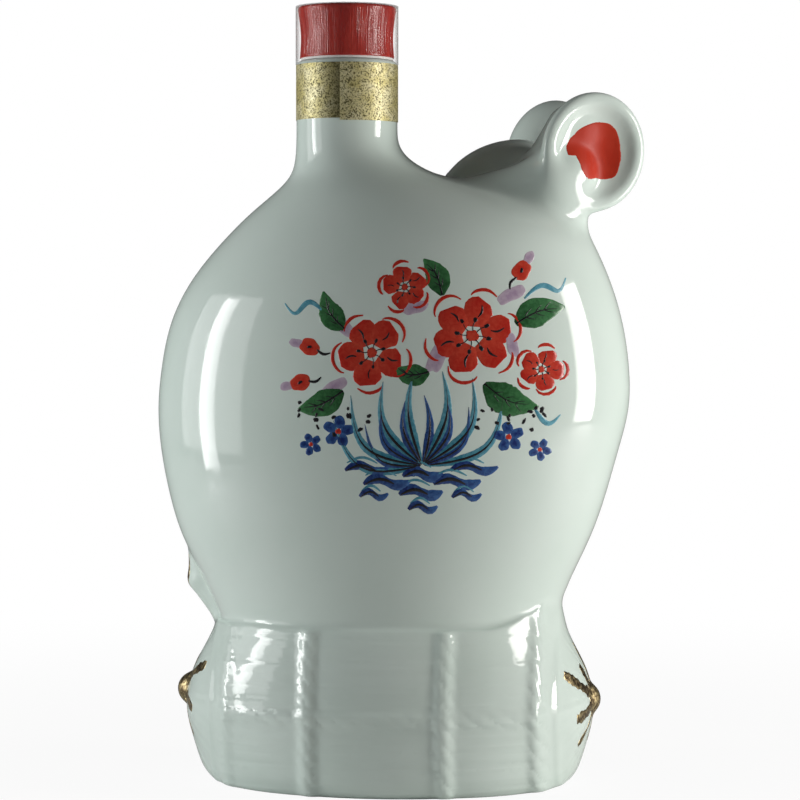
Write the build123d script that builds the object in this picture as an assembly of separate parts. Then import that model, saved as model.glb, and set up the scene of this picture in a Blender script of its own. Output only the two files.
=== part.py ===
"""Figural porcelain liquor decanter: a seated mouse on a rice bale, closed by a plastic stopper.

Millimetres, +Z up, origin at the centre of the flat foot. The mouse sits with its plain painted back
towards -Y and its belly towards +Y, and looks along -X over its shoulder. The neck rises left of its
head. The figure is slip-cast in parts that are luted together before firing, so its pieces meet face
to face. The stopper lifts out of the neck, and a clear film is pulled off over it first.
"""

import os

from build123d import *

# Rice bale that the mouse sits on: an oval drum with domed ends
BALE_WIDTH = 115.0
BALE_DEPTH = 81.0
BALE_HEIGHT = 46.0
BALE_WALL = 5.5
BALE_FLOOR = 6.5
BALE_END_WIDTH = 11.5

# Mouse body on the bale, and the neck that rises from it
BODY_WIDTH = 132.0
BODY_DEPTH = 80.0
BODY_HEIGHT = 134.0
BODY_WALL = 5.5
NECK_OFFSET = 12.7
NECK_RADIUS = 14.1
NECK_LENGTH = 20.7
NECK_LIP_ROUND = 1.2
BORE_RADIUS = 9.2

# Head, whose snout dips and turns towards the belly side
HEAD_LENGTH = 44.4
HEAD_WIDTH = 52.0
HEAD_HEIGHT = 44.0
HEAD_WALL = 5.5
SNOUT_LENGTH = 38.0
SNOUT_WIDTH = 25.0
SNOUT_HEIGHT = 23.0
SNOUT_REACH = 24.0
SNOUT_DIP = 21.0
SNOUT_TURN = 12.0
NOSE_RADIUS = 3.4

# Ears: oval dishes on thick roots
EAR_WIDTH = 31.0
EAR_HEIGHT = 34.0
EAR_THICKNESS = 10.0
EAR_RIM = 3.2
EAR_DISH_DEPTH = 5.6
EAR_TURN = 28.0
EAR_ROLL = 15.0
EAR_ROOT_RADIUS = 11.0
EAR_STALK_RADIUS = 6.5

# Paws, feet and tail
PAW_LENGTH = 36.0
PAW_WIDTH = 14.0
PAW_LEAN = 28.0
FOOT_LENGTH = 28.0
FOOT_WIDTH = 17.0
FOOT_HEIGHT = 12.0
FOOT_LEFT_HEADING = 160.0
FOOT_RIGHT_HEADING = 80.0
TOE_RADIUS = 3.2
TOE_COUNT = 4
TAIL_RADIUS = 3.2
TAIL_TIP_RADIUS = 1.6

# Straw ropes and end knots of the bale
ROPE_WIDTH = 4.2
ROPE_HEIGHT = 1.2
ROPE_FLOOR_GAP = 2.0
KNOT_RADIUS = 4.6
KNOT_PROUD = 1.6

# Paper band round the neck, whose end laps over its start a little lower
LABEL_HEIGHT = 15.4
LABEL_THICKNESS = 0.15
LABEL_BELOW_LIP = 1.3
LABEL_LAP = 15.0
LABEL_LAP_DROP = 0.6

# Stopper: a waisted cap over a plug with sealing fins, and a foam washer between cap and lip
CAP_HEIGHT = 14.4
CAP_BASE_RADIUS = 13.2
CAP_WAIST_RADIUS = 12.9
CAP_WAIST_HEIGHT = 5.5
CAP_RIM_RADIUS = 13.9
CAP_EDGE_ROUND = 0.8
WASHER_HEIGHT = 0.6
FLANGE_RADIUS = 10.6
FLANGE_HEIGHT = 4.0
PLUG_LENGTH = 24.0
PLUG_RADIUS = 8.2
PLUG_WALL = 2.0
FIN_COUNT = 4
FIN_HEIGHT = 1.4
FIN_PITCH = 4.6
FIN_FIRST = 3.5
FIN_CLEARANCE = 0.1

# Clear shrink film over the cap and the lip
FILM_THICKNESS = 0.15
FILM_CLEARANCE = 0.1
FILM_TOP_LIP = 2.4
FILM_LABEL_GAP = 0.2

# One overrun serves every cut
OVERRUN = 2.0

# Outline of the bale: height as a share of BALE_HEIGHT, then half width and half depth as shares of
# half BALE_WIDTH and half BALE_DEPTH
BALE_SHARES = (
    (0.000, 0.860, 0.880),
    (0.060, 0.905, 0.930),
    (0.150, 0.942, 0.962),
    (0.280, 0.975, 0.988),
    (0.420, 1.000, 1.000),
    (0.560, 0.995, 0.998),
    (0.700, 0.962, 0.978),
    (0.820, 0.912, 0.946),
    (0.920, 0.872, 0.910),
    (1.000, 0.852, 0.870),
)

# Outline of the body: height above the bale as a share of BODY_HEIGHT, then the reach towards -X and
# towards +X as shares of half BODY_WIDTH, and the half depth as a share of half BODY_DEPTH
BODY_SHARES = (
    (0.000, 0.727, 0.690, 0.850),
    (0.082, 0.807, 0.757, 0.907),
    (0.164, 0.891, 0.835, 0.950),
    (0.254, 0.949, 0.901, 0.978),
    (0.343, 0.984, 0.953, 0.995),
    (0.433, 0.997, 0.997, 1.000),
    (0.522, 0.981, 0.998, 0.993),
    (0.604, 0.945, 0.974, 0.968),
    (0.679, 0.876, 0.932, 0.925),
    (0.743, 0.783, 0.880, 0.865),
    (0.799, 0.680, 0.800, 0.785),
    (0.840, 0.593, 0.655, 0.700),
    (0.877, 0.504, 0.433, 0.600),
    (0.910, 0.439, 0.228, 0.490),
    (0.944, 0.413, 0.089, 0.405),
    (0.978, 0.407, 0.031, 0.365),
)
SHOULDER_COUNT = len(BODY_SHARES) - 3
HOLLOW_SHARE = BODY_SHARES[SHOULDER_COUNT - 1][0]
NECK_RING_SHARES = (0.08, 0.25, 0.45, 0.65)

# Outlines of the ear and of its dish: depth from the rim as a share of the depth, then the size as a
# share of the rim's
EAR_BOWL_SHARES = ((0.00, 0.96), (0.15, 1.00), (0.40, 0.97), (0.65, 0.87), (0.85, 0.70), (1.00, 0.48))
EAR_DISH_SHARES = ((-0.20, 1.06), (0.10, 1.00), (0.40, 0.92), (0.70, 0.76), (0.88, 0.55), (1.00, 0.30))

# Places on the figure as shares of half BODY_WIDTH, half BODY_DEPTH and BODY_HEIGHT above the bale
HEAD_SHARES = (0.464, 0.675, 0.836)
EAR_LEFT_SHARES = (0.832, 0.030, 0.961)
EAR_RIGHT_SHARES = (0.630, 1.200, 0.973)
EAR_LEFT_ROOT_SHARES = (0.580, 0.360, 0.820)
EAR_RIGHT_ROOT_SHARES = (0.530, 0.900, 0.840)
PAW_SHARES = ((-0.270, 0.900, 0.500), (0.230, 0.915, 0.500))
FOOT_LEFT_SHARES = (-0.671, 0.330, 0.086)
FOOT_RIGHT_SHARES = (0.200, 0.830, 0.072)
TOE_SPREAD_SHARE = 0.24
TAIL_SHARES = ((0.640, 0.420, 0.032), (0.560, 0.615, 0.028), (0.450, 0.745, 0.026), (0.340, 0.850, 0.028))

# Places on the bale as shares of half BALE_WIDTH or of BALE_HEIGHT
ROPE_NAMES = ("outer_left", "inner_left", "inner_right", "outer_right")
ROPE_SHARES = (-0.745, -0.320, 0.320, 0.745)
GIRDLE_SHARE = 0.470
KNOT_SHARE = 0.560

HALF_WIDTH = BODY_WIDTH / 2
HALF_DEPTH = BODY_DEPTH / 2
NECK_X = -NECK_OFFSET
BODY_TOP = BALE_HEIGHT + BODY_HEIGHT
NECK_TOP = BODY_TOP + NECK_LENGTH
CAP_BASE = NECK_TOP + WASHER_HEIGHT
CAP_TOP = CAP_BASE + CAP_HEIGHT
FACES = (("back", -1), ("belly", 1))
UP = (Align.CENTER, Align.CENTER, Align.MIN)
DOWN = (Align.CENTER, Align.CENTER, Align.MAX)


def oval(centre_x, height, reach_x, reach_y):
    """A level elliptical face."""
    return Pos(centre_x, 0, height) * Ellipse(reach_x, reach_y)


def egg(length, width, height):
    """An ellipsoid of the given full sizes along X, Y and Z."""
    return scale(Sphere(1), by=(length / 2, width / 2, height / 2))


def on_body(shares):
    """The place that a triple of body shares names."""
    return Pos(shares[0] * HALF_WIDTH, shares[1] * HALF_DEPTH, BALE_HEIGHT + shares[2] * BODY_HEIGHT)


def tube(inner, outer, base, height):
    """A plain ring about the neck's axis."""
    ring = Cylinder(outer, height, align=UP)
    if inner > 0:
        ring -= Cylinder(inner, height, align=UP)
    return Pos(NECK_X, 0, base) * ring


def half_block(side, width, depth, low, high):
    """A block that holds all of a form on one side of the neck's plane, between two heights."""
    edge = (Align.CENTER, Align.MIN if side > 0 else Align.MAX, Align.MIN)
    block = Box(width + 2 * OVERRUN, depth / 2 + OVERRUN, high - low, align=edge)
    return Pos(0, 0, low) * block


def bale_form(growth=0.0):
    """The drum of the bale, grown sideways by a margin."""
    half_width, half_depth = BALE_WIDTH / 2, BALE_DEPTH / 2
    return loft(
        [
            oval(0, up * BALE_HEIGHT, wide * half_width + growth, deep * half_depth + growth)
            for up, wide, deep in BALE_SHARES
        ]
    )


def bale_hollow():
    """The inside of the drum, from its floor to just above its open top."""
    half_width, half_depth = BALE_WIDTH / 2 - BALE_WALL, BALE_DEPTH / 2 - BALE_WALL
    depth = BALE_HEIGHT - BALE_FLOOR
    faces = [
        oval(0, BALE_FLOOR + up * depth, wide * half_width, deep * half_depth)
        for up, wide, deep in BALE_SHARES
    ]
    _, wide, deep = BALE_SHARES[-1]
    mouth = extrude(oval(0, BALE_HEIGHT - OVERRUN, wide * half_width, deep * half_depth), 2 * OVERRUN)
    return loft(faces) + mouth


def body_oval(shares, inset, height):
    """One level section of the body, set in by a wall."""
    _, left, right, deep = shares
    reach = (left + right) / 2 * HALF_WIDTH - inset
    return oval((right - left) / 2 * HALF_WIDTH, height, reach, deep * HALF_DEPTH - inset)


def body_form():
    """The outer skin of the body and neck as one closed solid."""
    faces = [body_oval(row, 0, BALE_HEIGHT + row[0] * BODY_HEIGHT) for row in BODY_SHARES]
    for share in NECK_RING_SHARES:
        faces.append(oval(NECK_X, BODY_TOP + share * NECK_LENGTH, NECK_RADIUS, NECK_RADIUS))
    neck_base = BODY_TOP + NECK_RING_SHARES[1] * NECK_LENGTH
    neck = Pos(NECK_X, 0, neck_base) * Cylinder(NECK_RADIUS, NECK_TOP - neck_base, align=UP)
    neck = fillet(neck.edges().group_by(Axis.Z)[-1], NECK_LIP_ROUND)
    flare = loft(faces) - Pos(NECK_X, 0, neck_base) * Cylinder(2 * NECK_RADIUS, NECK_LENGTH, align=UP)
    return flare + neck


def hollow_level(share):
    """Height of an inner section of the body, whose upper half is pressed together by the wall."""
    middle = BODY_HEIGHT / 2
    height = share * BODY_HEIGHT
    if height > middle:
        height = middle + (height - middle) * (1 - BODY_WALL / (HOLLOW_SHARE * BODY_HEIGHT - middle))
    return BALE_HEIGHT + height


def body_hollow():
    """The inside of the body, open below, with the straight bore of the neck above."""
    faces = [body_oval(row, BODY_WALL, hollow_level(row[0])) for row in BODY_SHARES[:SHOULDER_COUNT]]
    bore_base = BALE_HEIGHT + BODY_HEIGHT / 2
    bore = Pos(NECK_X, 0, bore_base) * Cylinder(BORE_RADIUS, NECK_TOP + OVERRUN - bore_base, align=UP)
    mouth = extrude(body_oval(BODY_SHARES[0], BODY_WALL, BALE_HEIGHT - OVERRUN), 2 * OVERRUN)
    return loft(faces) + bore + mouth


def head_form():
    """Skull, snout and nose."""
    aim = Rot(0, 0, -SNOUT_TURN) * Rot(0, -SNOUT_DIP, 0)
    skull = egg(HEAD_LENGTH, HEAD_WIDTH, HEAD_HEIGHT)
    snout = aim * Pos(-SNOUT_REACH, 0, 0) * egg(SNOUT_LENGTH, SNOUT_WIDTH, SNOUT_HEIGHT)
    nose = aim * Pos(-SNOUT_REACH - SNOUT_LENGTH / 2, 0, NOSE_RADIUS / 2) * Sphere(NOSE_RADIUS)
    return on_body(HEAD_SHARES) * (skull + snout + nose)


def head_hollow():
    """The inside of the skull, which opens into the body."""
    inside = 2 * HEAD_WALL
    return on_body(HEAD_SHARES) * egg(HEAD_LENGTH - inside, HEAD_WIDTH - inside, HEAD_HEIGHT - inside)


def ear_bowl(shares, inset, depth, side):
    """A stack of upright ovals, sunk from the rim's plane to a depth away from its open side."""
    ovals = []
    for sunk, size in shares:
        across = size * (EAR_WIDTH / 2 - inset)
        up = size * (EAR_HEIGHT / 2 - inset)
        level = Pos(0, side * (EAR_THICKNESS / 2 - sunk * depth), 0)
        ovals.append(level * Rot(90, 0, 0) * Ellipse(across, up))
    return loft(ovals)


def ear_form(shares, root_shares, side):
    """A dish on its stalk; side is -1 where it opens towards -Y and 1 where it opens towards +Y."""
    place = on_body(shares) * Rot(0, 0, -side * EAR_TURN) * Rot(0, EAR_ROLL, 0)
    bowl = place * ear_bowl(EAR_BOWL_SHARES, 0, EAR_THICKNESS, side)
    dish = place * ear_bowl(EAR_DISH_SHARES, EAR_RIM, EAR_DISH_DEPTH, side)
    back = (place * Pos(0, -side * (EAR_THICKNESS / 2 - EAR_RIM), 0)).position
    run = on_body(root_shares).position - back
    stalk = Plane(back, z_dir=run) * Cone(EAR_STALK_RADIUS, EAR_ROOT_RADIUS, run.length, align=UP)
    return bowl + stalk - dish


def foot_form(shares, heading):
    """A flat hind foot with a row of round toes, heading in degrees from +X."""
    foot = egg(FOOT_LENGTH, FOOT_WIDTH, FOOT_HEIGHT)
    for i in range(TOE_COUNT):
        across = (i - (TOE_COUNT - 1) / 2) * TOE_SPREAD_SHARE * FOOT_WIDTH
        foot += Pos(FOOT_LENGTH / 2 - TOE_RADIUS, across, -TOE_RADIUS / 2) * Sphere(TOE_RADIUS)
    return on_body(shares) * Rot(0, 0, heading) * foot


def paw_form(shares, side):
    """A forepaw that lies on the belly and leans inwards."""
    return on_body(shares) * Rot(0, side * PAW_LEAN, 0) * egg(PAW_WIDTH, PAW_WIDTH, PAW_LENGTH)


def tail_form():
    """A tail in the crease between body and bale, which tapers to its tip."""
    path = Spline(*[on_body(place).position for place in TAIL_SHARES])
    root = Plane(path @ 0, z_dir=path % 0) * Circle(TAIL_RADIUS)
    tip = Plane(path @ 1, z_dir=path % 1) * Circle(TAIL_TIP_RADIUS)
    return sweep([root, tip], path=path, multisection=True)


def rope_ring(layer, share):
    """An upright rope round the bale, from just above the floor to the body."""
    slab = Box(ROPE_WIDTH, BALE_DEPTH + 2 * OVERRUN, BALE_HEIGHT - ROPE_FLOOR_GAP, align=UP)
    return layer & (Pos(share * BALE_WIDTH / 2, 0, ROPE_FLOOR_GAP) * slab)


def rope_girdle(layer):
    """The level rope between the two outer upright ones."""
    length = (ROPE_SHARES[-1] - ROPE_SHARES[0]) * BALE_WIDTH / 2
    slab = Box(length, BALE_DEPTH + 2 * OVERRUN, ROPE_WIDTH)
    return layer & (Pos(0, 0, GIRDLE_SHARE * BALE_HEIGHT) * slab)


def knot_form(side):
    """A round knot at the middle of an end of the bale."""
    across = side * (BALE_WIDTH / 2 + KNOT_PROUD - KNOT_RADIUS)
    return Pos(across, 0, KNOT_SHARE * BALE_HEIGHT) * Sphere(KNOT_RADIUS)


def neck_label():
    """The paper band with its lapped end."""
    base = NECK_TOP - LABEL_BELOW_LIP - LABEL_HEIGHT
    paper = NECK_RADIUS + LABEL_THICKNESS
    band = tube(NECK_RADIUS, paper, base, LABEL_HEIGHT)
    lap = tube(paper, paper + LABEL_THICKNESS, base - LABEL_LAP_DROP, LABEL_HEIGHT)
    under = tube(NECK_RADIUS, paper, base - LABEL_LAP_DROP, LABEL_LAP_DROP)
    corner = (Align.MIN, Align.MAX, Align.MIN)
    reach = Box(LABEL_LAP, 2 * NECK_RADIUS, LABEL_HEIGHT + LABEL_LAP_DROP, align=corner)
    return band + ((lap + under) & (Pos(NECK_X, 0, base - LABEL_LAP_DROP) * reach))


def stopper_cap():
    """The waisted cap, recessed below for the plug's flange."""
    base = (CAP_BASE_RADIUS, 0, 0)
    waist = (CAP_WAIST_RADIUS, 0, CAP_WAIST_HEIGHT)
    rim = (CAP_RIM_RADIUS, 0, CAP_HEIGHT)
    outline = [
        ThreePointArc(base, waist, rim),
        Line(rim, (0, 0, CAP_HEIGHT)),
        Line((0, 0, CAP_HEIGHT), (0, 0, 0)),
        Line((0, 0, 0), base),
    ]
    cap = revolve(make_face(outline), axis=Axis.Z)
    cap = fillet(cap.edges().group_by(Axis.Z)[-1], CAP_EDGE_ROUND)
    return Pos(NECK_X, 0, CAP_BASE) * (cap - Cylinder(FLANGE_RADIUS, FLANGE_HEIGHT, align=UP))


def stopper_plug():
    """The plug: its flange in the cap, fins in the bore, hollow from below."""
    plug = Cylinder(FLANGE_RADIUS, FLANGE_HEIGHT, align=UP)
    plug += Cylinder(PLUG_RADIUS, WASHER_HEIGHT + PLUG_LENGTH, align=DOWN)
    for i in range(FIN_COUNT):
        drop = WASHER_HEIGHT + FIN_FIRST + i * FIN_PITCH
        plug += Pos(0, 0, -drop) * Cylinder(BORE_RADIUS - FIN_CLEARANCE, FIN_HEIGHT, align=DOWN)
    hollow = Cylinder(PLUG_RADIUS - PLUG_WALL, PLUG_LENGTH, align=UP)
    plug -= Pos(0, 0, -WASHER_HEIGHT - PLUG_LENGTH) * hollow
    return Pos(NECK_X, 0, CAP_BASE) * plug


def stopper_washer():
    """The foam washer that the cap presses on the lip."""
    return tube(PLUG_RADIUS, NECK_RADIUS - NECK_LIP_ROUND, NECK_TOP, WASHER_HEIGHT)


def seal_film():
    """A clear sleeve with a lip folded over the top of the cap."""
    inner = NECK_RADIUS + FILM_CLEARANCE
    outer = inner + FILM_THICKNESS
    base = NECK_TOP - LABEL_BELOW_LIP + FILM_LABEL_GAP
    sleeve = tube(inner, outer, base, CAP_TOP - base)
    return sleeve + tube(CAP_RIM_RADIUS - FILM_TOP_LIP, outer, CAP_TOP, FILM_THICKNESS)


def bale_pieces(bale):
    """Foot, walls, domed ends, knots and ropes of the bale."""
    foot = bale & Box(BALE_WIDTH, BALE_DEPTH, 2 * BALE_FLOOR)
    drum = bale - bale_hollow() - foot
    pieces = {"bale_foot": foot}
    for name, side in (("left", -1), ("right", 1)):
        edge = (Align.MAX if side > 0 else Align.MIN, Align.CENTER, Align.MIN)
        beyond = Box(BALE_END_WIDTH + OVERRUN, BALE_DEPTH, BALE_HEIGHT, align=edge)
        beyond = Pos(side * (BALE_WIDTH / 2 + OVERRUN), 0, 0) * beyond
        pieces[f"bale_end_{name}"] = drum & beyond
        drum -= beyond
        pieces[f"end_knot_{name}"] = knot_form(side) - bale
    for name, side in FACES:
        pieces[f"bale_{name}"] = drum & half_block(side, BALE_WIDTH, BALE_DEPTH, BALE_FLOOR, BALE_HEIGHT)
    layer = bale_form(ROPE_HEIGHT) - bale
    girdle = rope_girdle(layer)
    for name, share in zip(ROPE_NAMES, ROPE_SHARES):
        rope = rope_ring(layer, share)
        girdle -= rope
        pieces[f"rope_{name}"] = rope
    return {**pieces, "rope_girdle": girdle}


def body_pieces(body):
    """The body as it is cast: the painted back and the belly, and above their hollow the shoulder."""
    shell = body - body_hollow() - head_hollow()
    seam = hollow_level(HOLLOW_SHARE)
    pieces = {}
    for name, side in FACES:
        pieces[f"body_{name}"] = shell & half_block(side, BODY_WIDTH, BODY_DEPTH, BALE_HEIGHT, seam)
    above = Box(BODY_WIDTH, BODY_DEPTH, NECK_TOP + OVERRUN - seam, align=UP)
    pieces["shoulder"] = shell & (Pos(0, 0, seam) * above)
    return pieces


def mouse_pieces(bale):
    """Body with neck, head, ears, paws, feet and tail, each cut to fit the ones before it."""
    body = body_form()
    head = head_form()
    pieces = {
        **body_pieces(body),
        "head": head - head_hollow() - body,
        "ear_left": ear_form(EAR_LEFT_SHARES, EAR_LEFT_ROOT_SHARES, -1) - head - body,
        "ear_right": ear_form(EAR_RIGHT_SHARES, EAR_RIGHT_ROOT_SHARES, 1) - head - body,
    }
    for name, shares, side in zip(("forepaw_left", "forepaw_right"), PAW_SHARES, (1, -1)):
        pieces[name] = paw_form(shares, side) - body - head
    left_foot = foot_form(FOOT_LEFT_SHARES, FOOT_LEFT_HEADING)
    right_foot = foot_form(FOOT_RIGHT_SHARES, FOOT_RIGHT_HEADING)
    pieces["hind_foot_left"] = left_foot - body - bale
    pieces["hind_foot_right"] = right_foot - body - bale
    pieces["tail"] = tail_form() - body - bale - right_foot
    return pieces


def closure_pieces():
    """Everything that closes and seals the neck."""
    return {
        "stopper_cap": stopper_cap(),
        "stopper_plug": stopper_plug(),
        "stopper_washer": stopper_washer(),
        "seal_film": seal_film(),
        "neck_label": neck_label(),
    }


def main():
    """Build every piece and write each as its own file."""
    os.makedirs("parts", exist_ok=True)
    bale = bale_form()
    pieces = {**mouse_pieces(bale), **bale_pieces(bale), **closure_pieces()}
    for name, piece in pieces.items():
        size = piece.bounding_box().size
        print(name, len(piece.solids()), round(piece.volume), [round(side, 1) for side in size])
        export_step(piece, f"parts/{name}.step")
    capacity = bale_hollow().volume + body_hollow().volume
    print("hollow_ml", round(capacity / 1000))


if __name__ == "__main__":
    main()
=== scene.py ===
"""Looks of the porcelain mouse decanter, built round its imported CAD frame.

The porcelain is one glazed skin over all the parts luted together, so it is modelled as one smooth
field of distances, in millimetres in the frame's own axes, and meshed once. Painting and gilding lie
on the glaze as thin raised enamel.
"""

import math

import bmesh
import bpy
import numpy as np
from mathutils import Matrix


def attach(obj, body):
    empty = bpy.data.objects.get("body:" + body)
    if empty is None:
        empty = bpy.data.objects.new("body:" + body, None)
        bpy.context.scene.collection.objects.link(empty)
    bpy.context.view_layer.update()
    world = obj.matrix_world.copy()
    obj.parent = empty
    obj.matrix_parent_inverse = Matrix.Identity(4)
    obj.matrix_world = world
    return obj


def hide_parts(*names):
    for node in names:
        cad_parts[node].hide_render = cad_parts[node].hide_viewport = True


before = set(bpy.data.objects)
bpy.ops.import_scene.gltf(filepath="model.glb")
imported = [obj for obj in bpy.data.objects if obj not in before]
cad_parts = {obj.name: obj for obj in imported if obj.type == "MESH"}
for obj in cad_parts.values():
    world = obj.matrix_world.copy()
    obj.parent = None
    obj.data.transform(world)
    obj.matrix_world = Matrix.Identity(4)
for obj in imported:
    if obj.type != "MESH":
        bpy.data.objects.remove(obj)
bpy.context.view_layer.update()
MM = 0.001

# Sizes that the porcelain shares with its CAD solids, in millimetres
BALE_HEIGHT = 46.0
BALE_REACH = (57.5, 40.5)
BALE_WALL = 5.5
BALE_FLOOR = 6.5
BODY_REACH = (66.0, 40.0)
BODY_HEIGHT = 134.0
BODY_WALL = 5.5
NECK_X = -12.7
NECK_RADIUS = 14.1
NECK_TOP = 200.7
BODY_TOP = BALE_HEIGHT + BODY_HEIGHT
BORE_RADIUS = 9.2
BORE_BASE = 113.0
# The body's own lower end, sunk in the bale
BODY_BASE = 40.0

# Rows of height, half width and half depth, as shares of the bale's own
BALE_ROWS = np.array((
    (0.00, 0.860, 0.880), (0.06, 0.905, 0.930), (0.15, 0.942, 0.962), (0.28, 0.975, 0.988),
    (0.42, 1.000, 1.000), (0.56, 0.995, 0.998), (0.70, 0.962, 0.978), (0.82, 0.912, 0.946),
    (0.92, 0.872, 0.910), (1.00, 0.852, 0.870),
))
# Rows of height, reach to the left, reach to the right and half depth, as shares of the body's own
BODY_ROWS = np.array((
    (0.000, 0.727, 0.690, 0.850), (0.082, 0.807, 0.757, 0.907), (0.164, 0.891, 0.835, 0.950),
    (0.254, 0.949, 0.901, 0.978), (0.343, 0.984, 0.953, 0.995), (0.433, 0.997, 0.997, 1.000),
    (0.522, 0.981, 0.998, 0.993), (0.604, 0.945, 0.974, 0.968), (0.679, 0.876, 0.932, 0.925),
    (0.743, 0.783, 0.880, 0.865), (0.799, 0.680, 0.800, 0.785), (0.840, 0.593, 0.655, 0.700),
    (0.877, 0.504, 0.433, 0.600), (0.910, 0.439, 0.228, 0.490), (0.944, 0.413, 0.089, 0.405),
    (0.978, 0.407, 0.031, 0.365),
))
SHOULDER_COUNT = len(BODY_ROWS) - 3
NECK_RING_HEIGHTS = (1.7, 5.2, 9.3, 13.5, 18.0, 22.0)

HEAD_PLACE = np.array((30.6, 27.0, 158.0))
SKULL_PLACE = np.array((33.5, 27.0, 158.0))
SKULL_REACH = np.array((25.0, 26.0, 22.0))
SKULL_SHORT = np.array((5.7, 0.0, 0.0))
SNOUT_REACH = np.array((19.0, 12.5, 11.5))
SNOUT_AHEAD = 24.0
SNOUT_DIP = 21.0
SNOUT_TURN = 12.0
NOSE_RADIUS = 3.4
HEAD_WALL = 5.5

EARS = (
    ((54.9, 1.2, 174.8), (38.3, 14.4, 155.9), -1),
    ((39.9, 48.0, 176.2), (35.0, 36.0, 158.6), 1),
)
EAR_REACH = np.array((15.8, 12.0, 17.2))
EAR_DISH = np.array((10.6, 3.9, 11.8))
EAR_HALF_DEPTH = 5.0
EAR_RIM = 2.6
EAR_TURN = 28.0
EAR_ROLL = 15.0
STALK_RADII = (6.5, 11.0)
# The near ear's root on the shoulder: limbs with their end radii
EAR_COLLAR = (
    ((47.5, 2.0, 172.0), (43.0, 0.5, 157.0), (7.5, 9.5)),
    ((49.5, 1.0, 168.0), (47.4, 0.5, 156.5), (7.0, 5.6)),
    ((50.0, 5.0, 181.0), (44.0, 6.5, 171.5), (7.5, 7.2)),
    ((43.0, -1.8, 165.5), (18.0, 1.6, 158.5), (8.0, 7.0)),
)

PAWS = (((-17.8, 36.0, 113.0), 28.0), ((15.2, 36.6, 113.0), -28.0))
PAW_REACH = np.array((7.0, 7.0, 18.0))
FEET = (((-44.3, 13.2, 57.5), 160.0), ((13.2, 33.2, 55.6), 80.0))
FOOT_REACH = np.array((14.0, 8.5, 6.0))
TOE_RADIUS = 3.2
TOE_PITCH = 4.1
# The instep and heel of the left foot, which fill the crease at the side: limbs with their end radii
INSTEP = (
    ((-53.9, 3.0, 55.8), (-53.3, 2.5, 66.0), (4.4, 4.2)),
    ((-53.9, 3.0, 55.8), (-47.6, 3.0, 47.8), (4.4, 4.6)),
)
TAIL = ((42.2, 16.8, 50.3), (37.0, 24.6, 49.8), (29.7, 29.8, 49.5), (22.4, 34.0, 49.8))
TAIL_RADII = (3.2, 1.6)

# Upright ropes: place across the bale, and how deep the middle lies in the straw
INNER_ROPE = 18.4
OUTER_ROPE = 42.8
ROPES = ((-OUTER_ROPE, 2.4), (-INNER_ROPE, 1.5), (INNER_ROPE, 1.5), (OUTER_ROPE, 1.7))
ROPE_RADIUS = 2.5
ROPE_TWIST = 5.2
GIRDLE_HEIGHT = 21.6
GIRDLE_SUNK = 1.9
# The ends of the bale: the height of their middle, where their rims lie, and each knot's place and height
END_MIDDLE = 25.8
END_RIM = 47.6
KNOTS = ((-56.0, 24.9), (53.5, 23.6))
KNOT_RADIUS = 4.6


# Distance fields
class Curve:
    """A natural cubic spline through knots, straight beyond its ends."""

    def __init__(self, knots, values):
        self.knots = np.asarray(knots, float)
        self.values = np.asarray(values, float)
        count = len(self.knots)
        gaps = np.diff(self.knots)
        slopes = np.diff(self.values) / gaps
        system = np.eye(count)
        right = np.zeros(count)
        for i in range(1, count - 1):
            system[i, i - 1 : i + 2] = gaps[i - 1], 2 * (gaps[i - 1] + gaps[i]), gaps[i]
            right[i] = 6 * (slopes[i] - slopes[i - 1])
        self.bends = np.linalg.solve(system, right)

    def __call__(self, where):
        """Values and slopes at an array of places."""
        knots, values, bends = self.knots, self.values, self.bends
        inside = np.clip(where, knots[0], knots[-1])
        i = np.clip(np.searchsorted(knots, inside) - 1, 0, len(knots) - 2)
        gap = knots[i + 1] - knots[i]
        right = (inside - knots[i]) / gap
        left = 1 - right
        value = (
            left * values[i]
            + right * values[i + 1]
            + ((left**3 - left) * bends[i] + (right**3 - right) * bends[i + 1]) * gap**2 / 6
        )
        slope = (values[i + 1] - values[i]) / gap + (
            (1 - 3 * left**2) * bends[i] + (3 * right**2 - 1) * bends[i + 1]
        ) * gap / 6
        return value + (where - inside) * slope, slope


def union(a, b, blend):
    """The nearer of two distances, rounded where they cross."""
    mix = np.maximum(blend - np.abs(a - b), 0) / blend
    return np.minimum(a, b) - mix**3 * blend / 6


def overlap(a, b, blend):
    """The farther of two distances, rounded where they cross."""
    return -union(-a, -b, blend)


def turn(axis, degrees):
    """A rotation matrix about one axis."""
    c, s = math.cos(math.radians(degrees)), math.sin(math.radians(degrees))
    i, j = [(1, 2), (2, 0), (0, 1)][axis]
    matrix = np.eye(3)
    matrix[i, i] = matrix[j, j] = c
    matrix[i, j], matrix[j, i] = -s, s
    return matrix


def rise(value, low, high):
    """A share that goes from 0 at one value to 1 at another."""
    return np.clip((value - low) / (high - low), 0, 1)


def ball(points, place, radius):
    """Distance to a ball."""
    return np.sqrt(((points - place) ** 2).sum(1)) - radius


def egg(points, place, reach, facing=None):
    """Distance to an ellipsoid."""
    local = points - place
    if facing is not None:
        local = local @ facing
    near = np.sqrt(((local / reach) ** 2).sum(1))
    steep = np.sqrt(((local / reach**2) ** 2).sum(1))
    return near * (near - 1) / np.maximum(steep, 1e-6)


def limb(points, start, end, radii):
    """Distance to a straight round limb that tapers."""
    start, end = np.asarray(start, float), np.asarray(end, float)
    run = end - start
    share = np.clip(((points - start) @ run) / (run @ run), 0, 1)
    gap = points - start - share[:, None] * run
    return np.sqrt((gap**2).sum(1)) - radii[0] - share * (radii[1] - radii[0])


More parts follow.
